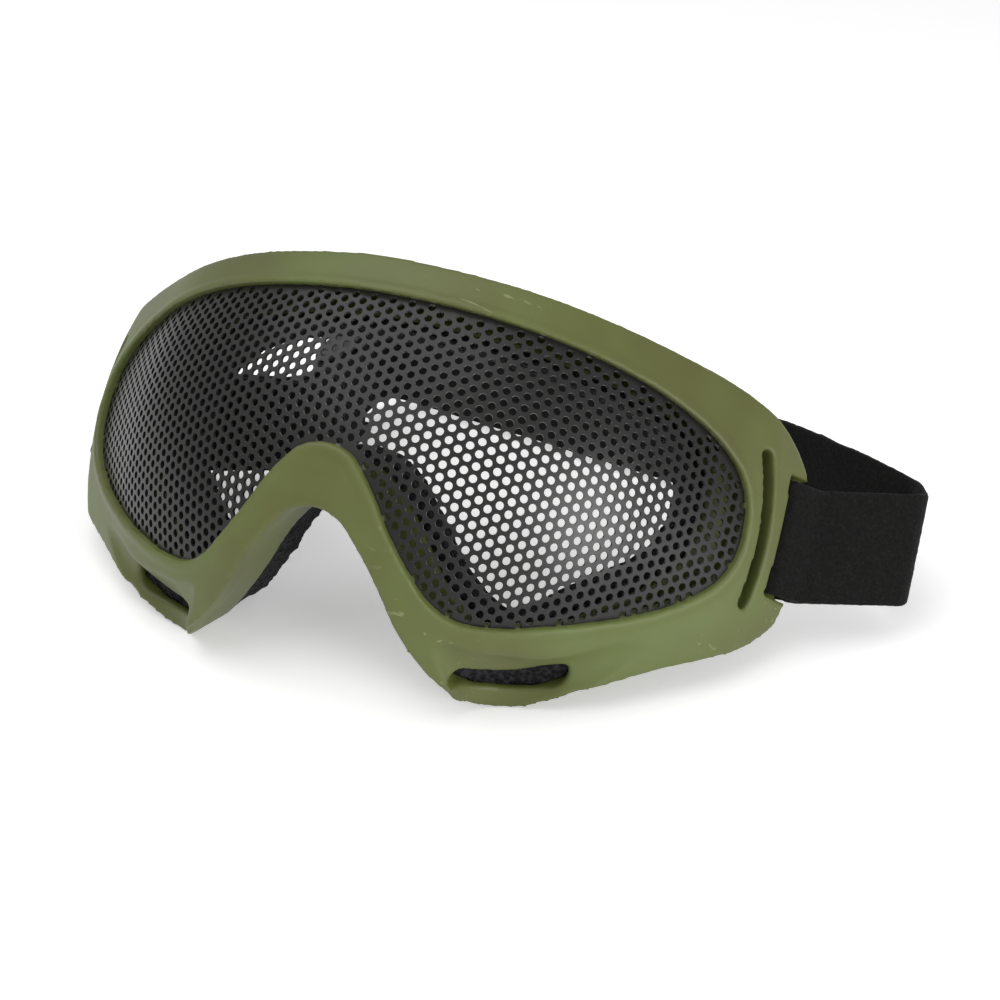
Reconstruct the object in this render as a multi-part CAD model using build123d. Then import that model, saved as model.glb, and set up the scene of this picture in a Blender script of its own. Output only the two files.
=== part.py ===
from build123d import *
from math import acos, asin, atan2, cos, pi, radians, sin, sqrt
import os

# Mesh safety goggles: a soft moulded frame holds a curved perforated steel lens,
# a foam ring lines the face side, and an elastic strap loops behind.
# The frame is drawn as worn: X to the left of the wearer, Y back to the face, Z up.
# At the end it is leaned back and set down on its two cheek lobes.

# Lean and curve of the lens
LEAN = 41
PLAN_RADIUS = 88.0
PLAN_HALF_ANGLE = 43
CROWN_RADIUS = 90.0
CROWN_HEIGHT = 13.0
SIDE_REACH = 60.0
FLAT_RUN = 25.5
TEMPLE_RADIUS = 14.0
TEMPLE_ANGLE = 17
WING_REACH = 22.0
SHELL_DROP = 52
SHELL_RISE = 40
WING_DROP = 24
WING_RISE = 22

# Moulding draft: every wall of the frame points at one spot behind the face
DRAFT_DEPTH = 123.0
DRAFT_HEIGHT = 38.0
TOOL_FRONT = 30.0
TOOL_BACK = 85.0

# Frame
HALF_GIRTH = 108.0
FRAME_HEIGHT = 87.0
HALF_SPAN = 88.0
FRAME_PROUD = 1.5
PLATE_BACK = 4.0
BODY_DEPTH = 14.0
WALL = 2.2
RIM_DEPTH = 3.0
FLANGE_WIDTH = 9.0
FLANGE_THICKNESS = 2.0
LIP_WIDTH = 1.8
LIP_PROUD = 0.4

# Lens
LENS_THICKNESS = 0.6
LENS_GRIP = 2.0
GROOVE_CLEARANCE = 0.1
HOLE_PITCH = 7.0
HOLE_DIAMETER = 4.2
HOLE_SIDES = 6
LENS_MARGIN = 3.0

# Scoops and vents in the cheek lobes
SCOOP_RADIUS = 18.0
VENT_FOAM_THICKNESS = 2.0
VENT_FOAM_LAP = 2.5

# Side slot, strap slot and post in each wing, with girths measured from the middle
SIDE_SLOT_DEPTH = 4.0
SIDE_SLOT_WIDTH = 3.0
SIDE_SLOT_HEIGHT = 31.0
SIDE_SLOT_MIDDLE = 11.5
SIDE_SLOT_GIRTH = 93.6
SIDE_SLOT_BOW = 1.3
SIDE_SLOT_SLANT = 5
NOTCH_HEIGHT = 26.5
NOTCH_MIDDLE = 12.2
NOTCH_GIRTH = 100.2
POST_GIRTH = 104.6
POST_DIAMETER = 3.4
POST_DEPTH = 2.6
POST_ROOT = 2.0
OVERRUN = 5.0

# Face foam
FOAM_THICKNESS = 11.0
FOAM_INSET = 0.8
FOAM_WIDTH = 10.5

# Strap, end loops and adjuster
STRAP_WIDTH = 25.0
STRAP_THICKNESS = 1.9
STRAP_LAY = 118.0
LAYER_GAP = 0.3
LOOP_CLEARANCE = 0.2
LOOP_REACH = 7.0
TURN_LENGTH = 9.0
SPLICE = 1.0
FLAP_LENGTH = 16.0
STITCH_WIDTH = 0.9
STITCH_THICKNESS = 0.4
STITCH_PITCH = 3.0
STITCH_MARGIN = 2.0
STITCH_GAP = 0.1
SLIDER_LENGTH = 17.0
SLIDER_BAR = 3.2
SLIDER_RAIL = 2.2
SLIDER_CLEARANCE = 0.3
SLIDER_LAY = 94.0
SLIDER_ROUND = 2.4
BAR_THICKNESS = 1.6
END_LOOP_THICKNESS = 1.2
END_LOOP_REACH = 8.0
SEWN_TAIL = 6.0

# Outlines as shares: girth over HALF_GIRTH, height over FRAME_HEIGHT
OUTER_SHARES = [
    (0.0, 0.529), (0.162, 0.523), (0.339, 0.513), (0.529, 0.493), (0.671, 0.476),
    (0.778, 0.455), (0.856, 0.425), (0.932, 0.379), (0.975, 0.328), (0.997, 0.27),
    (1.003, 0.13), (1.0, -0.02), (0.986, -0.088), (0.945, -0.132), (0.88, -0.174),
    (0.793, -0.224), (0.72, -0.272), (0.65, -0.325), (0.594, -0.364), (0.54, -0.397),
    (0.485, -0.419), (0.43, -0.430), (0.375, -0.426), (0.314, -0.406), (0.262, -0.374),
    (0.21, -0.323), (0.162, -0.255), (0.119, -0.190), (0.085, -0.145), (0.04, -0.105),
    (0.0, -0.094),
]
SEAT_SHARES = [
    (0.0, 0.520), (0.162, 0.515), (0.339, 0.504), (0.528, 0.483), (0.671, 0.458),
    (0.765, 0.42), (0.84, 0.345), (0.882, 0.241), (0.893, 0.115), (0.884, 0.0),
    (0.848, -0.105), (0.778, -0.200), (0.676, -0.296), (0.61, -0.360), (0.558, -0.415),
    (0.50, -0.452), (0.43, -0.463), (0.365, -0.443), (0.31, -0.409), (0.257, -0.367),
    (0.206, -0.315), (0.159, -0.248), (0.117, -0.184), (0.083, -0.139), (0.04, -0.099),
    (0.0, -0.088),
]
OPENING_SHARES = [
    (0.0, 0.433), (0.131, 0.430), (0.365, 0.413), (0.528, 0.386), (0.648, 0.352),
    (0.747, 0.299), (0.807, 0.233), (0.833, 0.138), (0.833, 0.057), (0.813, -0.009),
    (0.764, -0.072), (0.668, -0.145), (0.546, -0.207), (0.431, -0.251), (0.348, -0.269),
    (0.287, -0.260), (0.231, -0.217), (0.159, -0.126), (0.102, -0.029), (0.05, 0.039),
    (0.0, 0.055),
]
VENT_SHARES = [
    (0.343, -0.386), (0.378, -0.380), (0.483, -0.355), (0.588, -0.318), (0.59, -0.340),
    (0.548, -0.382), (0.472, -0.414), (0.405, -0.419), (0.357, -0.404),
]
# Scoop sections: girth over HALF_GIRTH, depth over SCOOP_RADIUS, height over
# FRAME_HEIGHT and radius over SCOOP_RADIUS
SCOOP_SHARES = [
    (0.24, -0.19, -0.303, 0.09), (0.30, -0.30, -0.335, 0.25), (0.36, -0.44, -0.376, 0.5),
    (0.42, -0.65, -0.416, 0.86), (0.48, -0.70, -0.420, 0.95), (0.54, -0.70, -0.388, 0.88),
    (0.60, -0.65, -0.318, 0.7), (0.66, -0.52, -0.255, 0.5), (0.72, -0.39, -0.206, 0.3),
    (0.78, -0.27, -0.165, 0.14),
]
# Strap corners: side over HALF_SPAN, reach behind over STRAP_LAY, height over
# STRAP_WIDTH, bend radius over STRAP_WIDTH and lean over LEAN
STRAP_SHARES = [
    (1.25, 0.536, 0.736, 0.1, 0.85), (1.222, 0.593, 0.716, 0.3, 0.8),
    (0.889, 0.803, 0.588, 1.6, 0.08), (-0.495, 1.003, 0.604, 0.16, 0.0),
    (-0.495, 0.627, 0.604, 0.36, 0.0), (-0.898, 0.480, 0.69, 0.24, 0.75),
]
OUTLINE_STEPS = 64
VENT_STEPS = 16
SECTION_STEPS = 4
STITCH_ROWS = 4
SEAM_ROWS = 2


def plan(u):
    # Where the lens curve lies in plan at girth u, and its turn there in degrees.
    side = 1 if u >= 0 else -1
    girth = abs(u)
    bow = radians(PLAN_HALF_ANGLE)
    arc = PLAN_RADIUS * bow
    if girth <= arc:
        turn = girth / PLAN_RADIUS
        return side * PLAN_RADIUS * sin(turn), PLAN_RADIUS * (1 - cos(turn)), side * turn
    run = min(girth - arc, FLAT_RUN)
    x = PLAN_RADIUS * sin(bow) + run * cos(bow)
    y = PLAN_RADIUS * (1 - cos(bow)) + run * sin(bow)
    past = girth - arc - run
    bend = min(past / TEMPLE_RADIUS, radians(TEMPLE_ANGLE))
    x += TEMPLE_RADIUS * (sin(bow + bend) - sin(bow))
    y += TEMPLE_RADIUS * (cos(bow) - cos(bow + bend))
    rest = past - TEMPLE_RADIUS * bend
    x += rest * cos(bow + bend)
    y += rest * sin(bow + bend)
    return side * x, y, side * (bow + bend)


def place(u, depth, height):
    # The spot at a depth square to the plan curve.
    x, y, turn = plan(u)
    return Vector(x - depth * sin(turn), y + depth * cos(turn), height)


def on_shell(u, z, depth=0.0):
    # The spot at a depth square to the doubly curved lens surface.
    tilt = asin((z - CROWN_HEIGHT) / CROWN_RADIUS)
    ray = CROWN_RADIUS - depth
    return place(u, CROWN_RADIUS - ray * cos(tilt), CROWN_HEIGHT + ray * sin(tilt))


def mirrored(shares):
    half = [(u * HALF_GIRTH, z * FRAME_HEIGHT) for u, z in shares]
    return half + [(-u, z) for u, z in reversed(half[1:-1])]


def spread(points, gap, steps):
    # The closed outline moved outward by a gap, as evenly spaced spots.
    curve = Spline(*points, periodic=True)
    spots = []
    for step in range(steps):
        spot = curve @ (step / steps)
        along = curve % (step / steps)
        spots.append((spot.X - along.Y * gap, spot.Y + along.X * gap))
    return spots


def arc_outline(spots):
    # A face inside a smooth closed outline, drawn as a chain of arcs.
    ring = spots[1:] + spots[:3]
    chain = [ThreePointArc(ring[i], ring[i + 1], ring[i + 2]) for i in range(0, len(spots), 2)]
    return make_face(chain)


def draft_tool(points, gap=0.0, steps=OUTLINE_STEPS):
    # A solid whose walls run through the outline and point at the draft spot.
    apex = Vector(0, DRAFT_DEPTH, DRAFT_HEIGHT)
    sections = []
    for level in (-TOOL_FRONT, TOOL_BACK):
        spots = []
        for u, z in spread(points, gap, steps):
            spot = on_shell(u, z)
            spots.append(apex + (spot - apex) * ((level - DRAFT_DEPTH) / (spot.Y - DRAFT_DEPTH)))
        sections.append(arc_outline(spots))
    return loft(sections, ruled=True)


def shell_section(front, back, low=-SHELL_DROP, high=SHELL_RISE):
    def spot(depth, angle):
        ray = CROWN_RADIUS - depth
        return (0, CROWN_RADIUS - ray * cos(radians(angle)), CROWN_HEIGHT + ray * sin(radians(angle)))

    middle = (low + high) / 2
    outline = [
        ThreePointArc(spot(front, low), spot(front, middle), spot(front, high)),
        Line(spot(front, high), spot(back, high)),
        ThreePointArc(spot(back, high), spot(back, middle), spot(back, low)),
        Line(spot(back, low), spot(front, low)),
    ]
    return make_face(outline)


def turned_section(section, side):
    return section.rotate(Axis((0, PLAN_RADIUS, 0), (0, 0, 1)), side * PLAN_HALF_ANGLE)


def middle_shell(section):
    start = turned_section(section, -1)
    return revolve(start, Axis((0, PLAN_RADIUS, 0), (0, 0, 1)), 2 * PLAN_HALF_ANGLE)


def deep_shell(front, back):
    # The lens curve with straight sides, between two depths.
    section = shell_section(front, back)
    bow = radians(PLAN_HALF_ANGLE)
    shell = middle_shell(section)
    for side in (-1, 1):
        shell += extrude(turned_section(section, side), SIDE_REACH, (side * cos(bow), sin(bow), 0))
    return shell


def plate_shell(front, back):
    # The lens curve with its wings bent back at the temples, between two depths.
    section = shell_section(front, back)
    wing_section = shell_section(front, back, -WING_DROP, WING_RISE)
    bow = radians(PLAN_HALF_ANGLE)
    wing = bow + radians(TEMPLE_ANGLE)
    shell = middle_shell(section)
    for side in (-1, 1):
        shell += extrude(turned_section(section, side), FLAT_RUN, (side * cos(bow), sin(bow), 0))
        flat = turned_section(wing_section, side)
        bent = flat.moved(Location((side * FLAT_RUN * cos(bow), FLAT_RUN * sin(bow), 0)))
        arc = PLAN_RADIUS * bow + FLAT_RUN
        pivot = place(side * arc, TEMPLE_RADIUS, 0)
        bend_axis = Axis(pivot, (0, 0, side))
        shell += revolve(bent, bend_axis, TEMPLE_ANGLE)
        last = bent.rotate(bend_axis, TEMPLE_ANGLE)
        shell += extrude(last, WING_REACH, (side * cos(wing), sin(wing), 0))
    return shell


def frame_at(u):
    # A work plane on the lens curve: x outward along it, y up, z out to the front.
    x, y, turn = plan(u)
    return Plane(origin=(x, y, 0), x_dir=(cos(turn), sin(turn), 0), z_dir=(sin(turn), -cos(turn), 0))


def both_sides(solid):
    return solid + mirror(solid, about=Plane.YZ)


def scoop_tool(wall=0.0):
    # A round form along the lobe, small at the nose end, that scoops its front out.
    rings = []
    for u, depth, height, size in SCOOP_SHARES:
        spot = on_shell(u * HALF_GIRTH, height * FRAME_HEIGHT, depth * SCOOP_RADIUS)
        along = frame_at(u * HALF_GIRTH).x_dir
        rings.append(Plane(spot, x_dir=(0, 0, 1), z_dir=along) * Circle(size * SCOOP_RADIUS + wall))
    return loft(rings)


def vent_outline():
    return [(u * HALF_GIRTH, z * FRAME_HEIGHT) for u, z in VENT_SHARES]


def side_slot():
    # The blind curved pocket beside the lens, behind which the wing flexes.
    half = SIDE_SLOT_HEIGHT / 2
    ends = [Vector(0, -half), Vector(SIDE_SLOT_BOW, 0), Vector(0, half)]
    bow = ThreePointArc(*ends)
    shape = Rot(0, 0, SIDE_SLOT_SLANT) * SlotArc(bow, SIDE_SLOT_WIDTH)
    sheet = frame_at(SIDE_SLOT_GIRTH) * Pos(0, SIDE_SLOT_MIDDLE, SIDE_SLOT_DEPTH + FRAME_PROUD) * shape
    return extrude(sheet, 2 * SIDE_SLOT_DEPTH + FRAME_PROUD, dir=-frame_at(SIDE_SLOT_GIRTH).z_dir)


def strap_notch():
    # The open slot that the strap dives into, cut through to the wing's edge.
    reach = HALF_GIRTH + OVERRUN - NOTCH_GIRTH
    depth = PLATE_BACK + FRAME_PROUD + 2 * OVERRUN
    spot = Pos(NOTCH_GIRTH - POST_GIRTH + reach / 2, NOTCH_MIDDLE, (FRAME_PROUD - PLATE_BACK) / 2)
    return frame_at(POST_GIRTH) * spot * Box(reach, NOTCH_HEIGHT, depth)


def strap_post():
    # The upright bar across the strap slot, which the webbing is folded round.
    middle = Plane(place(POST_GIRTH, POST_DEPTH, NOTCH_MIDDLE))
    return extrude(middle * Circle(POST_DIAMETER / 2), NOTCH_HEIGHT / 2 + POST_ROOT, both=True)


def make_frame():
    opening = mirrored(OPENING_SHARES)
    seat = mirrored(SEAT_SHARES)
    body = plate_shell(-FRAME_PROUD, PLATE_BACK) & draft_tool(mirrored(OUTER_SHARES))
    body += deep_shell(0, BODY_DEPTH) & draft_tool(seat)
    body += deep_shell(-FRAME_PROUD - LIP_PROUD, 0) & draft_tool(opening, LIP_WIDTH)
    body -= both_sides(scoop_tool())
    hollow = deep_shell(RIM_DEPTH, BODY_DEPTH - FLANGE_THICKNESS) & draft_tool(seat, -WALL)
    body -= hollow - both_sides(scoop_tool(WALL))
    mouth = deep_shell(BODY_DEPTH - OVERRUN, BODY_DEPTH + OVERRUN)
    body -= (mouth & draft_tool(seat, -FLANGE_WIDTH)) - both_sides(scoop_tool(WALL))
    body -= deep_shell(-OVERRUN, RIM_DEPTH + FLANGE_THICKNESS) & draft_tool(opening)
    groove = deep_shell(-GROOVE_CLEARANCE, LENS_THICKNESS + GROOVE_CLEARANCE)
    body -= groove & draft_tool(opening, LENS_GRIP + GROOVE_CLEARANCE)
    vent = deep_shell(-OVERRUN, BODY_DEPTH - FLANGE_THICKNESS) & draft_tool(vent_outline(), 0, VENT_STEPS)
    body -= both_sides(vent)
    body -= both_sides(side_slot() + strap_notch())
    return body + both_sides(strap_post())


def inside(spot, outline):
    # Whether a spot of the unrolled lens lies within a closed outline.
    crossings = 0
    for first, last in zip(outline, outline[1:] + outline[:1]):
        if (first[1] > spot[1]) != (last[1] > spot[1]):
            share = (spot[1] - first[1]) / (last[1] - first[1])
            if spot[0] < first[0] + share * (last[0] - first[0]):
                crossings += 1
    return crossings % 2 == 1


def lens_hole(u, z):
    # A six-sided pin square to the lens at one spot.
    spot = on_shell(u, z)
    inward = on_shell(u, z, LENS_THICKNESS) - spot
    plane = Plane(spot, x_dir=frame_at(u).x_dir, z_dir=inward)
    pin = RegularPolygon(HOLE_DIAMETER / 2, HOLE_SIDES)
    return extrude(plane * pin, LENS_THICKNESS + OVERRUN, both=True)


def make_lens():
    opening = mirrored(OPENING_SHARES)
    sheet = deep_shell(0, LENS_THICKNESS) & draft_tool(opening, LENS_GRIP)
    field = spread(opening, -LENS_MARGIN - HOLE_DIAMETER / 2, OUTLINE_STEPS)
    column = HOLE_PITCH * cos(pi / HOLE_SIDES)
    holes = []
    for across in range(-int(HALF_GIRTH / column), int(HALF_GIRTH / column) + 1):
        for up in range(-int(FRAME_HEIGHT / HOLE_PITCH), int(FRAME_HEIGHT / HOLE_PITCH) + 1):
            spot = (across * column, (up + across % 2 / 2) * HOLE_PITCH)
            if inside(spot, field):
                holes.append(lens_hole(*spot))
    return sheet - holes


def make_face_foam():
    seat = mirrored(SEAT_SHARES)
    ring = deep_shell(BODY_DEPTH, BODY_DEPTH + FOAM_THICKNESS) & draft_tool(seat, -FOAM_INSET)
    middle = deep_shell(BODY_DEPTH - OVERRUN, BODY_DEPTH + FOAM_THICKNESS + OVERRUN)
    return ring - (middle & draft_tool(seat, -FOAM_INSET - FOAM_WIDTH))


def make_vent_foam():
    # The foam pad behind one vent, laid on the back of the scoop's wall.
    room = deep_shell(RIM_DEPTH, BODY_DEPTH - FLANGE_THICKNESS) & draft_tool(mirrored(SEAT_SHARES), -WALL)
    pad = room & draft_tool(vent_outline(), VENT_FOAM_LAP, VENT_STEPS)
    return (pad & scoop_tool(WALL + VENT_FOAM_THICKNESS)) - scoop_tool(WALL)


def leaned(shape, lift):
    return Pos(0, 0, lift) * Rot(-LEAN, 0, 0) * shape


def leaned_spot(spot, lift):
    return spot.rotate(Axis.X, -LEAN) + Vector(0, 0, lift)


def strap_corner(row):
    side, reach, height = row[:3]
    return Vector(side * HALF_SPAN, reach * STRAP_LAY, height * STRAP_WIDTH)


def loop_plane(side, corner, lift):
    # The plane across the post's middle, with x aimed at the strap's next corner.
    centre = place(side * POST_GIRTH, POST_DEPTH, NOTCH_MIDDLE)
    aim = (corner - Vector(0, 0, lift)).rotate(Axis.X, LEAN) - centre
    return Plane(centre, x_dir=(aim.X, aim.Y, 0), z_dir=(0, 0, 1))


def teardrop(radius, half_width, reach):
    # An outline round the origin, drawn in to a flat end at the reach.
    swing = atan2(half_width, reach) + acos(radius / sqrt(reach ** 2 + half_width ** 2))
    high = (radius * cos(swing), radius * sin(swing))
    low = (high[0], -high[1])
    outline = [
        Line((reach, half_width), high),
        ThreePointArc(high, (-radius, 0), low),
        Line(low, (reach, -half_width)),
        Line((reach, -half_width), (reach, half_width)),
    ]
    return make_face(outline)


def make_end_loop(plane):
    # The webbing folded round a post, with its two layers drawn together.
    inner = POST_DIAMETER / 2 + LOOP_CLEARANCE
    ring = teardrop(inner + STRAP_THICKNESS, LAYER_GAP / 2 + STRAP_THICKNESS, LOOP_REACH)
    ring -= teardrop(inner, LAYER_GAP / 2, LOOP_REACH)
    return extrude(plane * ring, STRAP_WIDTH / 2, both=True)


def strap_route(planes, lift):
    # The strap's middle line from post to post, with the lean at marks along it.
    ends = [leaned_spot(plane.origin + plane.x_dir * LOOP_REACH, lift) for plane in planes]
    spots = [ends[0]] + [strap_corner(row) for row in STRAP_SHARES] + [ends[1]]
    leans = [LEAN] + [row[4] * LEAN for row in STRAP_SHARES] + [LEAN]
    path = FilletPolyline(*spots, radius=[row[3] * STRAP_WIDTH for row in STRAP_SHARES])
    marks = []
    run = 0
    for number, edge in enumerate(path.order_edges()):
        first = leans[(number + 1) // 2]
        last = leans[(number + 2) // 2]
        for step in range(SECTION_STEPS):
            share = step / SECTION_STEPS
            marks.append((run + share * edge.length, first + share * (last - first)))
        run += edge.length
    marks.append((run, leans[-1]))
    return path, marks


def strap_frame(route, length):
    # The middle, run, width and outward directions of the webbing at one length.
    path, marks = route
    for before, after in zip(marks, marks[1:]):
        if before[0] <= length <= after[0]:
            share = (length - before[0]) / (after[0] - before[0])
            lean = radians(before[1] + share * (after[1] - before[1]))
    spot = path.position_at(length, PositionMode.LENGTH)
    run = path.tangent_at(length, PositionMode.LENGTH)
    up = Vector(0, sin(lean), cos(lean))
    return spot, run, up, run.cross(up).normalized()


def webbing(route, start, end, layers, width=STRAP_WIDTH, thickness=STRAP_THICKNESS):
    # A length of webbing, laid aside from the middle line by a layer at each end.
    lengths = [mark[0] for mark in route[1] if start + SPLICE < mark[0] < end - SPLICE]
    sections = []
    for length in [start] + lengths + [end]:
        spot, run, up, out = strap_frame(route, length)
        aside = layers[0] + (layers[1] - layers[0]) * (length - start) / (end - start)
        corners = []
        for high, deep in ((-1, -1), (1, -1), (1, 1), (-1, 1)):
            corners.append(spot + up * (high * width / 2) + out * (aside + deep * thickness / 2))
        sections.append(make_face(Polyline(*corners, close=True)))
    return loft(sections, ruled=True)


def slider_plane(route):
    # The plane of the adjuster: x back along the strap, y up, z out of the strap's loop.
    middle = route[0].edges().filter_by(GeomType.LINE).filter_by(Axis.Y)[0]
    spot = middle @ 0
    return Plane((spot.X, SLIDER_LAY, spot.Z), x_dir=(0, 1, 0), z_dir=(-1, 0, 0))


def band_layer():
    return (STRAP_THICKNESS + LAYER_GAP) / 2


def bar_layer():
    # How far inside the band's middle the adjuster's centre bar lies.
    return (STRAP_THICKNESS + BAR_THICKNESS) / 2 + END_LOOP_THICKNESS + 2 * SLIDER_CLEARANCE


def make_slider(plane):
    # A three-bar adjuster: two bars outside the band, one within it, and a rail above and below.
    window = STRAP_WIDTH + 2 * SLIDER_CLEARANCE
    height = window + 2 * SLIDER_RAIL
    outside = band_layer() + STRAP_THICKNESS / 2 + SLIDER_CLEARANCE
    inside_face = band_layer() - bar_layer() - BAR_THICKNESS / 2
    slot = SLIDER_LENGTH - 2 * SLIDER_BAR
    outline = RectangleRounded(SLIDER_LENGTH, height, SLIDER_ROUND)
    face = outline - Rectangle(slot, window)
    rails = outline - Rectangle(SLIDER_LENGTH + OVERRUN, window)
    body = extrude(plane * Pos(0, 0, outside) * face, BAR_THICKNESS)
    body += extrude(plane * Pos(0, 0, inside_face) * rails, outside - inside_face)
    bar = bar_plane(plane) * SlotOverall(SLIDER_BAR, BAR_THICKNESS)
    return body + extrude(bar, height / 2, both=True)


def bar_plane(plane):
    # The plane across the centre bar, with x aimed along the sewn end of the webbing.
    middle = plane.origin + plane.z_dir * (band_layer() - bar_layer())
    return Plane(middle, x_dir=-plane.x_dir, z_dir=plane.y_dir)


def make_slider_end_loop(plane):
    # The sewn end of the webbing folded round the adjuster's centre bar.
    rounding = (SLIDER_BAR - BAR_THICKNESS) / 2
    bore = BAR_THICKNESS + 2 * SLIDER_CLEARANCE
    outer = bore / 2 + END_LOOP_THICKNESS
    ring = SlotOverall(SLIDER_BAR + 2 * (SLIDER_CLEARANCE + END_LOOP_THICKNESS), 2 * outer)
    ring += Pos(rounding, 0) * teardrop(outer, END_LOOP_THICKNESS, END_LOOP_REACH - rounding)
    ring += Pos(END_LOOP_REACH + SEWN_TAIL / 2, 0) * Rectangle(SEWN_TAIL, 2 * END_LOOP_THICKNESS)
    ring -= SlotOverall(SLIDER_BAR + 2 * SLIDER_CLEARANCE, bore)
    return extrude(bar_plane(plane) * ring, STRAP_WIDTH / 2, both=True)


def stitch_rows(route, start, layer, rows):
    # Rows of thread across the webbing's inner face, which lies at a layer.
    threads = []
    for row in range(rows):
        spot, run, up, out = strap_frame(route, start + row * STITCH_PITCH)
        middle = spot + out * (layer - STITCH_GAP - STITCH_THICKNESS / 2)
        box = Box(STRAP_WIDTH - 2 * STITCH_MARGIN, STITCH_WIDTH, STITCH_THICKNESS)
        threads.append(Plane(middle, x_dir=up, z_dir=out) * box)
    return Compound(children=threads)


def strap_pieces(lift):
    corners = [strap_corner(STRAP_SHARES[0]), strap_corner(STRAP_SHARES[-1])]
    planes = [loop_plane(1, corners[0], lift), loop_plane(-1, corners[1], lift)]
    route = strap_route(planes, lift)
    total = route[0].length
    adjuster = slider_plane(route)
    doubled = 2 * STRAP_THICKNESS + LAYER_GAP
    layer = band_layer()
    tail = slider_length(route, adjuster) + END_LOOP_REACH
    seam = tail + SEWN_TAIL
    inner = layer - bar_layer()
    pieces = {
        "right_end_loop": leaned(make_end_loop(planes[0]), lift),
        "left_end_loop": leaned(make_end_loop(planes[1]), lift),
        "right_sewn_end": webbing(route, 0, FLAP_LENGTH, (0, 0), thickness=doubled),
        "strap_band": webbing(route, FLAP_LENGTH, total - TURN_LENGTH, (layer, layer)),
        "left_strap_turn": webbing(route, total - TURN_LENGTH, total, (layer, layer)),
        "return_layer": webbing(route, seam, total, (inner, -layer)),
        "adjuster_slider": make_slider(adjuster),
        "slider_end_loop": make_slider_end_loop(adjuster),
        "right_end_stitching": stitch_rows(route, STITCH_MARGIN, -doubled / 2, STITCH_ROWS),
        "slider_end_stitching": stitch_rows(route, tail + STITCH_WIDTH, inner - END_LOOP_THICKNESS, SEAM_ROWS),
    }
    return pieces


def slider_length(route, plane):
    # How far along the strap the adjuster sits.
    run = 0
    for edge in route[0].order_edges():
        first, last = edge @ 0, edge @ 1
        if abs(first.X - plane.origin.X) < SPLICE and abs(last.X - plane.origin.X) < SPLICE:
            return run + abs(first.Y - SLIDER_LAY)
        run += edge.length
    return run


def build():
    frame = make_frame()
    foam = make_face_foam()
    front = {
        "frame": frame,
        "mesh_lens": make_lens(),
        "face_foam": foam,
        "vent_foam_right": make_vent_foam(),
    }
    front["vent_foam_left"] = mirror(front["vent_foam_right"], about=Plane.YZ)
    lift = -min((Rot(-LEAN, 0, 0) * shape).bounding_box().min.Z for shape in (frame, foam))
    pieces = {name: leaned(shape, lift) for name, shape in front.items()}
    pieces.update(strap_pieces(lift))
    boxes = [shape.bounding_box() for shape in pieces.values()]
    low = [min(tuple(box.min)[axis] for box in boxes) for axis in range(3)]
    high = [max(tuple(box.max)[axis] for box in boxes) for axis in range(3)]
    shift = Vector(-(low[0] + high[0]) / 2, -(low[1] + high[1]) / 2, -low[2])
    print("lift", lift, "shift", shift, "low", low, "high", high)
    return {name: Pos(shift) * shape for name, shape in pieces.items()}


if __name__ == "__main__":
    os.makedirs("parts", exist_ok=True)
    for name, shape in build().items():
        export_step(shape, f"parts/{name}.step")
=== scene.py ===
import math

import bpy
import numpy as np
from mathutils import Matrix, Vector
from mathutils.bvhtree import BVHTree
from mathutils.kdtree import KDTree


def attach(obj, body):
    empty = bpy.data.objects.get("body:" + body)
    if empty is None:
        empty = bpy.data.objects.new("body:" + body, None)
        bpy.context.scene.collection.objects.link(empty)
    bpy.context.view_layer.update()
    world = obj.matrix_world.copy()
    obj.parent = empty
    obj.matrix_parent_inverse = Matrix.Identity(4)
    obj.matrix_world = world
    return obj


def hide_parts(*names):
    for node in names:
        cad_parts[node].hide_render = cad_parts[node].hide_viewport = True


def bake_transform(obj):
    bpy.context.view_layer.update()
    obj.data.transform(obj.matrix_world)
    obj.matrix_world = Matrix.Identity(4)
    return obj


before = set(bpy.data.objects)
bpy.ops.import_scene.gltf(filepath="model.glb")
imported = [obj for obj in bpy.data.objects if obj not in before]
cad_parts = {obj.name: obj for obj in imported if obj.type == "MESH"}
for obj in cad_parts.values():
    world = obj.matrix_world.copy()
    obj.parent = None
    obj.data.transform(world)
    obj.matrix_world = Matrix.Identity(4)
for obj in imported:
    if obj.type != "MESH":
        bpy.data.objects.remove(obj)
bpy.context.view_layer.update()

bl_info = {
    "name": "Mesh Safety Goggles",
    "version": (1, 0, 0),
    "blender": (4, 5, 0),
    "location": "View3D > Sidebar > Goggles",
    "description": "Dresses a pair of mesh safety goggles and sets them on a pale studio floor",
    "category": "Object",
}

MM = 0.001
WELD = 0.01 * MM
NODE_WELD = 0.002 * MM
RIM_FRONT = 6 * MM
RIM_BACK = 9 * MM
HEX_SIDES = 6
RING_SIDES = 4
CORNER_SHARE = 0.25
SHADE_ANGLE = math.radians(30)
SOFT_ROUNDS = 3
SMOOTH_FACTOR = 0.5
BEVEL_RINGS = 2
CLIP_START = 10 * MM
BAND_NODES = ("right_end_loop", "right_sewn_end", "strap_band", "left_strap_turn", "left_end_loop")


# Sizes and colours

class GogglesPlacement(bpy.types.PropertyGroup):
    lean: bpy.props.FloatProperty(
        name="Lean", description="How far the goggles lean back as they lie",
        default=math.radians(41), subtype="ANGLE")
    lift: bpy.props.FloatProperty(
        name="Lift", description="Height of the lens frame's origin above the floor",
        default=0.0495625, unit="LENGTH", precision=6)
    across: bpy.props.FloatProperty(
        name="Across", description="Sideways place of the nose line",
        default=-0.0119306, unit="LENGTH", precision=6)
    back: bpy.props.FloatProperty(
        name="Back", description="Fore and aft place of the lens frame's origin",
        default=-0.0544137, unit="LENGTH", precision=6)


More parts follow.
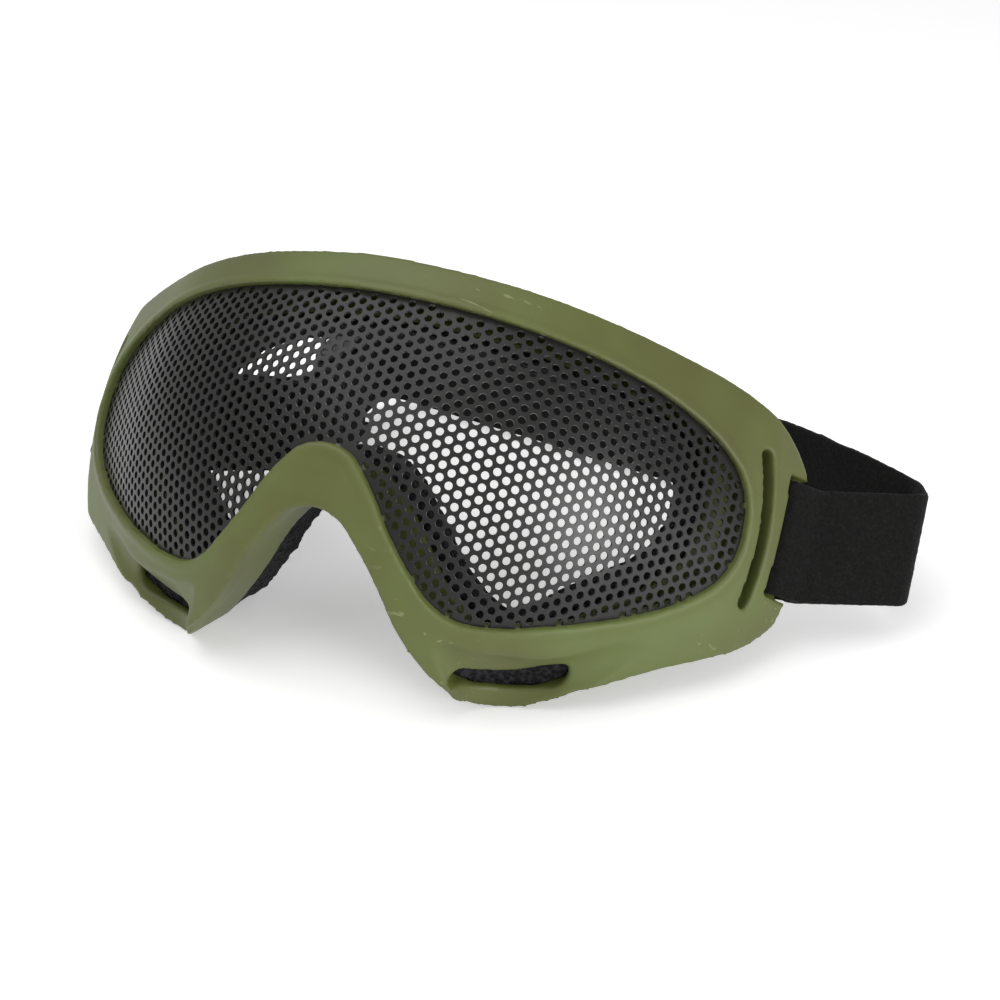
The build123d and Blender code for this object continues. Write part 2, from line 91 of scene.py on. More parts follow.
class GogglesLens(bpy.types.PropertyGroup):
    plan_radius: bpy.props.FloatProperty(
        name="Plan radius", description="Radius of the lens seen from above",
        default=0.088, unit="LENGTH")
    plan_half_angle: bpy.props.FloatProperty(
        name="Plan half angle", description="Half the turn of the lens's middle arc",
        default=math.radians(43), subtype="ANGLE")
    crown_radius: bpy.props.FloatProperty(
        name="Crown radius", description="Radius of the lens seen from the side",
        default=0.090, unit="LENGTH")
    crown_height: bpy.props.FloatProperty(
        name="Crown height", description="Height at which the lens stands furthest forward",
        default=0.013, unit="LENGTH")
    pitch: bpy.props.FloatProperty(
        name="Hole pitch", description="Distance between neighbouring holes",
        default=0.0025, unit="LENGTH", precision=5)
    hole: bpy.props.FloatProperty(
        name="Hole diameter", description="Diameter of each round hole",
        default=0.0017, unit="LENGTH", precision=5)
    blank_width: bpy.props.FloatProperty(
        name="Blank width", description="Width of the flat sheet that the lens is cut from",
        default=0.196, unit="LENGTH", precision=4)
    blank_height: bpy.props.FloatProperty(
        name="Blank height", description="Height of the flat sheet that the lens is cut from",
        default=0.0725, unit="LENGTH", precision=4)
    blank_low: bpy.props.FloatProperty(
        name="Blank low edge", description="Height of the flat sheet's lowest row of holes",
        default=-0.0285, unit="LENGTH", precision=4)
    margin: bpy.props.FloatProperty(
        name="Margin", description="How far inside the rim's edge a hole's middle has to lie",
        default=0.0003, unit="LENGTH", precision=5)
    thickness: bpy.props.FloatProperty(
        name="Thickness", description="Thickness of the steel sheet",
        default=0.0006, unit="LENGTH", precision=5)
    paint: bpy.props.FloatVectorProperty(
        name="Paint", description="Colour of the baked paint on the sheet",
        default=(0.016, 0.0155, 0.015), subtype="COLOR", size=3)


class GogglesSoft(bpy.types.PropertyGroup):
    shell_voxel: bpy.props.FloatProperty(
        name="Frame grain", description="Mesh size of the moulded frame",
        default=0.0005, unit="LENGTH", precision=5)
    shell_rounds: bpy.props.IntProperty(
        name="Frame rounding", description="Rounds of smoothing that soften the moulded frame's edges",
        default=10, min=0)
    shell_faces: bpy.props.IntProperty(
        name="Frame faces", description="Most triangles that the moulded frame is thinned to",
        default=180000, min=1000)
    foam_voxel: bpy.props.FloatProperty(
        name="Foam grain", description="Mesh size of the foam",
        default=0.0008, unit="LENGTH", precision=5)
    foam_rough: bpy.props.FloatProperty(
        name="Foam roughness", description="How far the cut cells stand out",
        default=0.0009, unit="LENGTH", precision=5)
    foam_cell: bpy.props.FloatProperty(
        name="Foam cell", description="Size of the torn cells along the cut faces",
        default=0.0022, unit="LENGTH", precision=5)
    strap_voxel: bpy.props.FloatProperty(
        name="Webbing grain", description="Mesh size of the webbing",
        default=0.0006, unit="LENGTH", precision=5)
    fuzz_depth: bpy.props.FloatProperty(
        name="Fuzz depth", description="How far the brushed loops stand out",
        default=0.00025, unit="LENGTH", precision=5)
    fuzz_size: bpy.props.FloatProperty(
        name="Fuzz size", description="Size of the tufts of brushed loops",
        default=0.0012, unit="LENGTH", precision=5)
    blend_start: bpy.props.FloatVectorProperty(
        name="Blend start", description="Where the webbing leaves the posts",
        default=(0.0, -0.004, 0.025), subtype="TRANSLATION", size=3, precision=4)
    blend_end: bpy.props.FloatVectorProperty(
        name="Blend end", description="Where the webbing has turned with the strap",
        default=(0.0, 0.008, 0.025), subtype="TRANSLATION", size=3, precision=4)
    slide_start: bpy.props.FloatVectorProperty(
        name="Slide start", description="Where the sewn layer begins to follow the adjuster",
        default=(0.0, 0.010, 0.025), subtype="TRANSLATION", size=3, precision=4)
    slide_end: bpy.props.FloatVectorProperty(
        name="Slide end", description="Where the sewn layer has joined the adjuster's end loop",
        default=(0.0, 0.026, 0.025), subtype="TRANSLATION", size=3, precision=4)
    thread: bpy.props.FloatProperty(
        name="Thread", description="Diameter of the sewing thread",
        default=0.00045, unit="LENGTH", precision=5)
    stitch: bpy.props.FloatProperty(
        name="Stitch", description="Length of each stitch",
        default=0.0022, unit="LENGTH", precision=5)
    stitch_pitch: bpy.props.FloatProperty(
        name="Stitch pitch", description="Distance between neighbouring stitches of a row",
        default=0.0026, unit="LENGTH", precision=5)


class GogglesStage(bpy.types.PropertyGroup):
    camera_offset: bpy.props.FloatVectorProperty(
        name="Camera offset", description="The camera's place, measured from the lens frame's origin",
        default=(0.128, -0.22967, 0.14308), subtype="TRANSLATION", size=3, precision=5)
    camera_forward: bpy.props.FloatVectorProperty(
        name="Camera direction", description="Where the camera looks",
        default=(-0.316, 0.806, -0.502), subtype="DIRECTION", size=3, precision=4)
    camera_right: bpy.props.FloatVectorProperty(
        name="Camera right", description="Which way the picture's right hand side lies",
        default=(0.93, 0.366, 0.004), subtype="DIRECTION", size=3, precision=4)
    camera_lens: bpy.props.FloatProperty(
        name="Focal length", description="Focal length on a 36 mm wide sensor",
        default=54.0, unit="CAMERA")
    floor_size: bpy.props.FloatProperty(
        name="Floor size", description="Side of the square floor",
        default=6.0, unit="LENGTH")
    key_place: bpy.props.FloatVectorProperty(
        name="Key lamp place", description="Where the large overhead softbox hangs",
        default=(-0.35, -0.25, 1.1), subtype="TRANSLATION", size=3, precision=3)
    key_size: bpy.props.FloatProperty(
        name="Key lamp size", description="Side of the overhead softbox",
        default=1.2, unit="LENGTH")
    key_power: bpy.props.FloatProperty(
        name="Key lamp power", description="Power of the overhead softbox",
        default=7.0, unit="POWER")
    fill_place: bpy.props.FloatVectorProperty(
        name="Fill lamp place", description="Where the smaller softbox at the side stands",
        default=(0.85, -0.5, 0.33), subtype="TRANSLATION", size=3, precision=3)
    fill_size: bpy.props.FloatProperty(
        name="Fill lamp size", description="Side of the smaller softbox",
        default=0.4, unit="LENGTH")
    fill_power: bpy.props.FloatProperty(
        name="Fill lamp power", description="Power of the smaller softbox",
        default=4.5, unit="POWER")
    ambient: bpy.props.FloatProperty(
        name="Ambient light", description="Strength of the even light from all round",
        default=0.5, min=0.0)
    backdrop: bpy.props.FloatVectorProperty(
        name="Backdrop", description="Colour of the floor",
        default=(0.86, 0.86, 0.86), subtype="COLOR", size=3)
    floor_glow: bpy.props.FloatProperty(
        name="Floor glow", description="How much brighter the camera sees the floor than it is lit",
        default=0.34, min=0.0)


# Materials

def linear(code):
    """An sRGB hex colour as linear light."""
    values = []
    for place in (1, 3, 5):
        share = int(code[place:place + 2], 16) / 255
        values.append(share / 12.92 if share <= 0.04045 else ((share + 0.055) / 1.055) ** 2.4)
    return (*values, 1.0)


def add_node(tree, kind, settings=None, values=None, links=None):
    """Adds a node with its settings, socket values and links."""
    made = tree.nodes.new(kind)
    for name, value in (settings or {}).items():
        setattr(made, name, value)
    for name, value in (values or {}).items():
        made.inputs[name].default_value = value
    for name, source in (links or {}).items():
        tree.links.new(source, made.inputs[name])
    return made


def new_material(name):
    """A material with a shader, its output and the object's coordinates."""
    material = bpy.data.materials.new(name)
    material.use_nodes = True
    tree = material.node_tree
    shader = tree.nodes["Principled BSDF"]
    place = add_node(tree, "ShaderNodeTexCoord").outputs["Object"]
    return material, tree, shader, place


def per_metre(millimetres):
    """The texture scale whose pattern repeats about every so many millimetres."""
    return 1 / (millimetres * MM)


def colour_ramp(tree, source, stops):
    ramp = add_node(tree, "ShaderNodeValToRGB", links={"Fac": source})
    elements = ramp.color_ramp.elements
    while len(elements) < len(stops):
        elements.new(0.5)
    for element, (position, colour) in zip(elements, stops):
        element.position = position
        element.color = colour
    return ramp.outputs["Color"]


def moulded_tpu():
    """Olive thermoplastic rubber, injection moulded: satin, with rubbed and dusty patches."""
    material, tree, shader, place = new_material("moulded_olive_tpu")
    # Large soft patches: the rubber is a little darker where it has been handled.
    patches = add_node(tree, "ShaderNodeTexNoise", links={"Vector": place},
                       values={"Scale": per_metre(38), "Detail": 3.0, "Roughness": 0.55})
    tone = colour_ramp(tree, patches.outputs["Fac"], [
        (0.3, linear("#545729")), (0.5, linear("#5C6230")), (0.72, linear("#627038"))])
    # Scuffs: long pale hairlines where the edge was rubbed.
    turned = add_node(tree, "ShaderNodeMapping", links={"Vector": place},
                      values={"Rotation": (0.4, 0.9, 0.3), "Scale": (1.0, 14.0, 9.0)})
    hair = add_node(tree, "ShaderNodeTexNoise", links={"Vector": turned.outputs["Vector"]},
                    values={"Scale": per_metre(16), "Detail": 2.0, "Roughness": 0.7})
    zone = add_node(tree, "ShaderNodeTexNoise", values={"Scale": per_metre(24), "Detail": 1.0},
                    links={"Vector": place})
    lines = colour_ramp(tree, hair.outputs["Fac"], [(0.665, (0, 0, 0, 1)), (0.70, (1, 1, 1, 1))])
    where = colour_ramp(tree, zone.outputs["Fac"], [(0.55, (0, 0, 0, 1)), (0.7, (1, 1, 1, 1))])
    scuff = add_node(tree, "ShaderNodeMath", {"operation": "MULTIPLY"}, links={0: lines, 1: where})
    faded = add_node(tree, "ShaderNodeMath", {"operation": "MULTIPLY"}, {1: 0.35},
                     {0: scuff.outputs[0]})
    rubbed = add_node(tree, "ShaderNodeMix", {"data_type": "RGBA"}, {"B": linear("#A9B08A")},
                      {"Factor": faded.outputs[0], "A": tone})
    tree.links.new(rubbed.outputs[2], shader.inputs["Base Color"])
    # Spark-eroded mould grain, finer than a render pixel shows, drawn at 0.5 mm.
    grain = add_node(tree, "ShaderNodeTexNoise", values={"Scale": per_metre(0.5), "Detail": 2.0},
                     links={"Vector": place})
    soft_edge = add_node(tree, "ShaderNodeBevel", {"samples": 6}, {"Radius": 0.7 * MM})
    waves = add_node(tree, "ShaderNodeTexNoise", values={"Scale": per_metre(9), "Detail": 1.0},
                     links={"Vector": place})
    first = add_node(tree, "ShaderNodeBump", values={"Strength": 0.12, "Distance": 0.4 * MM},
                     links={"Height": waves.outputs["Fac"], "Normal": soft_edge.outputs["Normal"]})
    second = add_node(tree, "ShaderNodeBump", values={"Strength": 0.1, "Distance": 0.05 * MM},
                      links={"Height": grain.outputs["Fac"], "Normal": first.outputs["Normal"]})
    tree.links.new(second.outputs["Normal"], shader.inputs["Normal"])
    smudges = add_node(tree, "ShaderNodeMapRange", values={"To Min": 0.40, "To Max": 0.56},
                       links={"Value": patches.outputs["Fac"]})
    tree.links.new(smudges.outputs["Result"], shader.inputs["Roughness"])
    shader.inputs["IOR"].default_value = 1.5
    return material


def painted_steel(paint):
    """Perforated mild steel sheet with baked black paint: half gloss, slightly orange-peeled."""
    material, tree, shader, place = new_material("painted_perforated_steel")
    shader.inputs["Base Color"].default_value = (*paint, 1.0)
    peel = add_node(tree, "ShaderNodeTexNoise", values={"Scale": per_metre(1.2), "Detail": 2.0},
                    links={"Vector": place})
    bump = add_node(tree, "ShaderNodeBump", values={"Strength": 0.15, "Distance": 0.04 * MM},
                    links={"Height": peel.outputs["Fac"]})
    tree.links.new(bump.outputs["Normal"], shader.inputs["Normal"])
    dust = add_node(tree, "ShaderNodeTexNoise", values={"Scale": per_metre(20), "Detail": 4.0},
                    links={"Vector": place})
    rough = add_node(tree, "ShaderNodeMapRange", values={"To Min": 0.24, "To Max": 0.40},
                     links={"Value": dust.outputs["Fac"]})
    tree.links.new(rough.outputs["Result"], shader.inputs["Roughness"])
    shader.inputs["Specular IOR Level"].default_value = 0.38
    return material


def foam_painted_pore_shade():
    """Black polyurethane foam, sliced: dull, all pores, with painted shade in each pore's middle and
    painted highlights on the rims where cells are cut.
    """
    material, tree, shader, place = new_material("foam_painted_pore_shade")
    cells = add_node(tree, "ShaderNodeTexVoronoi", {"feature": "F1"},
                     {"Scale": per_metre(1.1), "Randomness": 1.0}, {"Vector": place})
    fine = add_node(tree, "ShaderNodeTexVoronoi", {"feature": "F1"},
                    {"Scale": per_metre(0.5), "Randomness": 1.0}, {"Vector": place})
    # Painted shade and highlight: the colour runs from near black in each cell's middle, where the pore
    # lies in shade, to grey at the cut rims, painted as if lit.
    colour = colour_ramp(tree, cells.outputs["Distance"], [
        (0.0, linear("#050506")), (0.4, linear("#151517")), (0.75, linear("#2E2E31"))])
    tree.links.new(colour, shader.inputs["Base Color"])
    first = add_node(tree, "ShaderNodeBump", values={"Strength": 0.9, "Distance": 0.5 * MM},
                     links={"Height": cells.outputs["Distance"]})
    second = add_node(tree, "ShaderNodeBump", values={"Strength": 0.6, "Distance": 0.25 * MM},
                      links={"Height": fine.outputs["Distance"], "Normal": first.outputs["Normal"]})
    tree.links.new(second.outputs["Normal"], shader.inputs["Normal"])
    shader.inputs["Roughness"].default_value = 0.9
    shader.inputs["Specular IOR Level"].default_value = 0.25
    return material


def brushed_elastic():
    """Knitted elastic webbing with a brushed loop face: matt black with a fuzzy bloom."""
    material, tree, shader, place = new_material("brushed_elastic_webbing")
    fuzz = add_node(tree, "ShaderNodeTexNoise", links={"Vector": place},
                    values={"Scale": per_metre(0.7), "Detail": 5.0, "Roughness": 0.75})
    colour = colour_ramp(tree, fuzz.outputs["Fac"], [
        (0.35, linear("#080707")), (0.55, linear("#141312")), (0.75, linear("#242322"))])
    tree.links.new(colour, shader.inputs["Base Color"])
    loops = add_node(tree, "ShaderNodeTexVoronoi", {"feature": "F1"}, {"Scale": per_metre(0.6)},
                     {"Vector": place})
    first = add_node(tree, "ShaderNodeBump", values={"Strength": 0.7, "Distance": 0.3 * MM},
                     links={"Height": fuzz.outputs["Fac"]})
    second = add_node(tree, "ShaderNodeBump", values={"Strength": 0.4, "Distance": 0.15 * MM},
                      links={"Height": loops.outputs["Distance"], "Normal": first.outputs["Normal"]})
    tree.links.new(second.outputs["Normal"], shader.inputs["Normal"])
    shader.inputs["Roughness"].default_value = 0.95
    shader.inputs["Specular IOR Level"].default_value = 0.2
    shader.inputs["Sheen Weight"].default_value = 0.15
    shader.inputs["Sheen Roughness"].default_value = 0.5
    shader.inputs["Sheen Tint"].default_value = linear("#8A8A8C")
    return material


def acetal():
    """Black acetal, injection moulded: smooth with a low gloss and softened edges."""
    material, tree, shader, place = new_material("moulded_black_acetal")
    shader.inputs["Base Color"].default_value = linear("#161617")
    grain = add_node(tree, "ShaderNodeTexNoise", values={"Scale": per_metre(0.6), "Detail": 2.0},
                     links={"Vector": place})
    edge = add_node(tree, "ShaderNodeBevel", {"samples": 4}, {"Radius": 0.4 * MM})
    bump = add_node(tree, "ShaderNodeBump", values={"Strength": 0.15, "Distance": 0.04 * MM},
                    links={"Height": grain.outputs["Fac"], "Normal": edge.outputs["Normal"]})
    tree.links.new(bump.outputs["Normal"], shader.inputs["Normal"])
    shader.inputs["Roughness"].default_value = 0.38
    return material


def bonded_thread():
    """Bonded polyester sewing thread: black, with painted highlights on the ridges of its plies and painted
    shade in the grooves between them.
    """
    material, tree, shader, place = new_material("polyester_thread_painted_ply_light")
    ply_bands_and_painted_light = add_node(tree, "ShaderNodeTexWave", {"wave_type": "BANDS", "bands_direction": "DIAGONAL"},
                     {"Scale": per_metre(2.0), "Distortion": 1.0}, {"Vector": place})
    # Painted highlight and shade: the colour runs lighter along the raised plies and darker in the grooves
    # between them, following the same bands as the bump.
    colour = colour_ramp(tree, ply_bands_and_painted_light.outputs["Fac"], [(0.2, linear("#121213")), (0.8, linear("#2A2A2C"))])
    tree.links.new(colour, shader.inputs["Base Color"])
    bump = add_node(tree, "ShaderNodeBump", values={"Strength": 0.5, "Distance": 0.1 * MM},
                    links={"Height": ply_bands_and_painted_light.outputs["Fac"]})
    tree.links.new(bump.outputs["Normal"], shader.inputs["Normal"])
    shader.inputs["Roughness"].default_value = 0.7
    return material


# Shared handling

def deselect_all():
    if bpy.context.object and bpy.context.object.mode != "OBJECT":
        bpy.ops.object.mode_set(mode="OBJECT")
    bpy.ops.object.select_all(action="DESELECT")


def make_active(obj):
    deselect_all()
    obj.select_set(True)
    bpy.context.view_layer.objects.active = obj


def finish_piece(obj, material, body, slot_name, *nodes):
    """Gives a piece its material and its body, and hides the imported nodes that it stands for."""
    obj.data.materials.clear()
    obj.data.materials.append(material)
    if body:
        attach(obj, body)
    if nodes:
        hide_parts(*nodes)


def copied_node(name, new_name):
    """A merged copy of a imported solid, free to be worked on."""
    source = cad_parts[name]
    copy = source.copy()
    copy.data = source.data.copy()
    copy.name = new_name
    copy.data.name = new_name
    bpy.context.scene.collection.objects.link(copy)
    copy.parent = None
    copy.matrix_world = Matrix.Identity(4)
    for key in list(copy.keys()):
        del copy[key]
    copy.hide_render = False
    copy.hide_viewport = False
    make_active(copy)
    bpy.ops.object.mode_set(mode="EDIT")
    bpy.ops.mesh.select_all(action="SELECT")
    bpy.ops.mesh.remove_doubles(threshold=NODE_WELD)
    bpy.ops.mesh.normals_make_consistent(inside=False)
    bpy.ops.object.mode_set(mode="OBJECT")
    return copy


def joined(pieces, name):
    make_active(pieces[0])
    for piece in pieces[1:]:
        piece.select_set(True)
    if len(pieces) > 1:
        bpy.ops.object.join()
    whole = bpy.context.view_layer.objects.active
    whole.name = name
    whole.data.name = name
    return whole


def apply_modifier(obj, kind, **settings):
    make_active(obj)
    modifier = obj.modifiers.new(kind.title(), kind)
    for name, value in settings.items():
        setattr(modifier, name, value)
    bpy.ops.object.modifier_apply(modifier=modifier.name)


def softened(obj, voxel, rounds):
    """Remeshes a solid evenly and rounds its edges."""
    apply_modifier(obj, "REMESH", mode="VOXEL", voxel_size=voxel, use_smooth_shade=True)
    apply_modifier(obj, "SMOOTH", factor=SMOOTH_FACTOR, iterations=rounds)
    return obj


def roughened(obj, size, depth):
    """Pushes a surface in and out by a cloud pattern of a given size."""
    clouds = bpy.data.textures.new(obj.name + "_clouds", "CLOUDS")
    clouds.noise_scale = size
    clouds.noise_depth = 2
    clouds.noise_basis = "BLENDER_ORIGINAL"
    apply_modifier(obj, "DISPLACE", texture=clouds, texture_coords="LOCAL", strength=depth, mid_level=0.5)
    return obj


# The lens surface

def lens_spot(settings, place, u, z, depth):
    """Points of the lens surface at a girth, a height and a depth behind it, as placed on the floor."""
    side = np.sign(u)
    girth = np.abs(u)
    arc = settings.plan_radius * settings.plan_half_angle
    turn = np.minimum(girth, arc) / settings.plan_radius
    run = np.maximum(girth - arc, 0)
    tilt = np.arcsin((z - settings.crown_height) / settings.crown_radius)
    ray = settings.crown_radius - depth
    inward = settings.crown_radius - ray * np.cos(tilt)
    height = settings.crown_height + ray * np.sin(tilt)
    x = side * (settings.plan_radius * np.sin(turn) + run * np.cos(turn) - inward * np.sin(turn))
    y = settings.plan_radius * (1 - np.cos(turn)) + run * np.sin(turn) + inward * np.cos(turn)
    spots = np.empty((len(u), 3))
    spots[:, 0] = x + place.across
    spots[:, 1] = y * math.cos(place.lean) + height * math.sin(place.lean) + place.back
    spots[:, 2] = height * math.cos(place.lean) - y * math.sin(place.lean) + place.lift
    return spots


def solid_tree(name):
    """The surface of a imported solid, for measuring in world space."""
    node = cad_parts[name]
    spots = [node.matrix_world @ vertex.co for vertex in node.data.vertices]
    return BVHTree.FromPolygons(spots, [tuple(face.vertices) for face in node.data.polygons])


def covered(tree, settings, place, u, z, back=0.0):
    """Whether the frame lies in front of each lens spot, or less than a set depth behind it."""
    starts = lens_spot(settings, place, u, z, np.full(len(u), -RIM_FRONT))
    ends = lens_spot(settings, place, u, z, np.full(len(u), back))
    found = np.zeros(len(u), bool)
    for index, (start, end) in enumerate(zip(starts, ends)):
        way = Vector(end - start)
        found[index] = tree.ray_cast(Vector(start), way.normalized(), way.length)[0] is not None
    return found


def distances(tree, spots):
    return np.array([tree.find_nearest(Vector(spot))[3] for spot in spots])


def vertex_places(obj):
    places = np.empty(3 * len(obj.data.vertices))
    obj.data.vertices.foreach_get("co", places)
    return places.reshape(-1, 3)


def move_vertices(obj, places):
    obj.data.vertices.foreach_set("co", np.asarray(places).ravel())
    obj.data.update()


class GOGGLES_OT_lens(bpy.types.Operator):
    """Punches the curved steel lens with its round holes"""
    bl_idname = "goggles.lens"
    bl_label = "Perforated lens"

    def execute(self, context):
        settings = context.scene.goggles_lens
        place = context.scene.goggles_placement
        sheet = self.flat_sheet(settings)
        self.punch(sheet, settings, place)
        self.curve(sheet, settings, place)
        apply_modifier(sheet, "SOLIDIFY", thickness=settings.thickness, offset=0.0)
        make_active(sheet)
        bpy.ops.object.shade_smooth_by_angle(angle=SHADE_ANGLE)
        finish_piece(sheet, painted_steel(settings.paint), "goggles", "mesh_steel", "mesh_lens")
        return {"FINISHED"}

    def flat_sheet(self, settings):
        """A flat field of six-sided cells, each a ring of faces round a cap."""
        pitch = settings.pitch
        flat = math.pi / HEX_SIDES
        column = pitch * math.cos(flat)
        pairs = 2 * math.ceil(settings.blank_width / (4 * column))
        rows = math.ceil(settings.blank_height / pitch)
        start = Vector((-pairs * column, settings.blank_low, 0))
        deselect_all()
        bpy.ops.mesh.primitive_circle_add(vertices=2 * HEX_SIDES, radius=pitch / 2, fill_type="NGON",
                                          location=start)
        sheet = bpy.context.object
        sheet.name = sheet.data.name = "perforated_lens"
        bpy.ops.object.transform_apply(location=True, rotation=True, scale=True)
        bpy.ops.object.mode_set(mode="EDIT")
        bpy.ops.mesh.select_all(action="SELECT")
        bpy.ops.mesh.inset(thickness=(pitch - settings.hole) / 2 * math.cos(flat / 2))
        bpy.ops.mesh.select_mode(type="VERT")
        bpy.ops.mesh.select_all(action="DESELECT")
        bpy.ops.object.mode_set(mode="OBJECT")
        for vertex in sheet.data.vertices:
            out = vertex.co - start
            turns = math.atan2(out.y, out.x) / (2 * flat)
            at_corner = abs(turns - round(turns)) < CORNER_SHARE
            vertex.select = out.length > (pitch + settings.hole) / 4 and at_corner
        bpy.ops.object.mode_set(mode="EDIT")
        bpy.ops.transform.resize(value=(1 / math.cos(flat),) * 3, center_override=start)
        bpy.ops.object.mode_set(mode="OBJECT")
        steps = (((column, pitch / 2, 0), 2), ((0, pitch, 0), rows), ((2 * column, 0, 0), pairs + 1))
        for step, count in steps:
            apply_modifier(sheet, "ARRAY", use_relative_offset=False, use_constant_offset=True,
                           constant_offset_displace=step, count=count,
                           use_merge_vertices=True, merge_threshold=WELD)
        return sheet

    def punch(self, sheet, settings, place):
        """Deletes the caps inside the rim, and the cells beyond it."""
        rim = solid_tree("frame")
        blank = solid_tree("mesh_lens")
        faces = sheet.data.polygons
        centres = np.empty(3 * len(faces))
        faces.foreach_get("center", centres)
        centres = centres.reshape(-1, 3)
        sides = np.empty(len(faces), np.int32)
        faces.foreach_get("loop_total", sides)
        caps = np.flatnonzero(sides > RING_SIDES)
        u, z = centres[caps, 0], centres[caps, 1]
        away = distances(blank, lens_spot(settings, place, u, z, np.full(len(u), settings.thickness / 2)))
        hidden = covered(rim, settings, place, u, z, RIM_BACK)
        clear = ~covered(rim, settings, place, u, z)
        for step in range(2 * HEX_SIDES):
            turn = math.pi * step / HEX_SIDES
            clear &= ~covered(rim, settings, place, u + settings.margin * math.cos(turn),
                              z + settings.margin * math.sin(turn))
        kept = np.where(hidden, away < settings.thickness, away < settings.pitch)
        cells = KDTree(len(caps))
        for index, cap in enumerate(caps):
            cells.insert(centres[cap], index)
        cells.balance()
        owner = np.array([cells.find(centre)[1] for centre in centres])
        unwanted = ~kept[owner]
        unwanted[caps] |= clear
        make_active(sheet)
        bpy.ops.object.mode_set(mode="EDIT")
        bpy.ops.mesh.select_mode(type="FACE")
        bpy.ops.mesh.select_all(action="DESELECT")
        bpy.ops.object.mode_set(mode="OBJECT")
        faces.foreach_set("select", unwanted)
        bpy.ops.object.mode_set(mode="EDIT")
        bpy.ops.mesh.delete(type="FACE")
        bpy.ops.object.mode_set(mode="OBJECT")

    def curve(self, sheet, settings, place):
        """Bends the flat sheet to the lens's curve and draws its edge in to the blank's."""
        rim = solid_tree("frame")
        blank = solid_tree("mesh_lens")
        flat = vertex_places(sheet)
        u, z = flat[:, 0], flat[:, 1]
        curved = lens_spot(settings, place, u, z, np.full(len(u), settings.thickness / 2))
        hidden = covered(rim, settings, place, u, z, RIM_BACK)
        for index in np.flatnonzero(hidden):
            spot, normal, face, away = blank.find_nearest(Vector(curved[index]))
            if away > settings.thickness:
                curved[index] = spot
        move_vertices(sheet, curved)


# Operators for the other pieces and the stage

class GOGGLES_OT_mouldings(bpy.types.Operator):
    """Gives the moulded frame and the adjuster their plastics"""
    bl_idname = "goggles.mouldings"
    bl_label = "Frame and adjuster"

    def execute(self, context):
        settings = context.scene.goggles_soft
        shell = softened(copied_node("frame", "moulded_frame"), settings.shell_voxel, settings.shell_rounds)
        triangles = sum(len(face.vertices) - 2 for face in shell.data.polygons)
        if triangles > settings.shell_faces:
            apply_modifier(shell, "DECIMATE", ratio=settings.shell_faces / triangles)
            bpy.ops.object.shade_smooth()
        finish_piece(shell, moulded_tpu(), "goggles", "frame_tpu", "frame")
        plastic = acetal()
        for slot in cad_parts["adjuster_slider"].material_slots:
            slot.material = plastic
        return {"FINISHED"}


class GOGGLES_OT_foam(bpy.types.Operator):
    """Cuts the face ring and the two vent pads from open-celled foam"""
    bl_idname = "goggles.foam"
    bl_label = "Foam"

    def execute(self, context):
        settings = context.scene.goggles_soft
        material = foam_painted_pore_shade()
        for name in ("face_foam", "vent_foam_left", "vent_foam_right"):
            pad = softened(copied_node(name, "cut_" + name), settings.foam_voxel, SOFT_ROUNDS)
            roughened(pad, settings.foam_cell, settings.foam_rough)
            finish_piece(pad, material, "goggles", "foam", name)
        return {"FINISHED"}


class GOGGLES_OT_webbing(bpy.types.Operator):
    """Lays the elastic webbing from post to post and back to the adjuster"""
    bl_idname = "goggles.webbing"
    bl_label = "Elastic webbing"

    def execute(self, context):
        settings = context.scene.goggles_soft
        material = brushed_elastic()
        band = joined([copied_node(name, name + "_webbing") for name in BAND_NODES], "elastic_strap")
        self.brush(band, settings)
        finish_piece(band, material, None, "webbing", *BAND_NODES)
        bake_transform(band)
        returned = copied_node("return_layer", "return_webbing")
        self.brush(returned, settings)
        cut = (Vector(settings.blend_end) + Vector(settings.slide_start)) / 2
        front = self.half(returned, "return_webbing_front", cut, True)
        rear = self.half(returned, "return_webbing_rear", cut, False)
        bpy.data.objects.remove(returned)
        for part in (front, rear):
            finish_piece(part, material, None, "webbing", "return_layer")
        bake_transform(front)
        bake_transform(rear)
        end = copied_node("slider_end_loop", "sewn_end_loop")
        self.brush(end, settings)
        finish_piece(end, material, "adjuster", "webbing", "slider_end_loop")
        return {"FINISHED"}

    def brush(self, piece, settings):
        softened(piece, settings.strap_voxel, SOFT_ROUNDS)
        roughened(piece, settings.fuzz_size, settings.fuzz_depth)

    def half(self, whole, name, cut, front):
        part = whole.copy()
        part.data = whole.data.copy()
        part.name = part.data.name = name
        bpy.context.scene.collection.objects.link(part)
        make_active(part)
        bpy.ops.object.mode_set(mode="EDIT")
        bpy.ops.mesh.select_all(action="SELECT")
        bpy.ops.mesh.bisect(plane_co=cut, plane_no=(0, 1, 0), clear_outer=front, clear_inner=not front)
        bpy.ops.object.mode_set(mode="OBJECT")
        return part


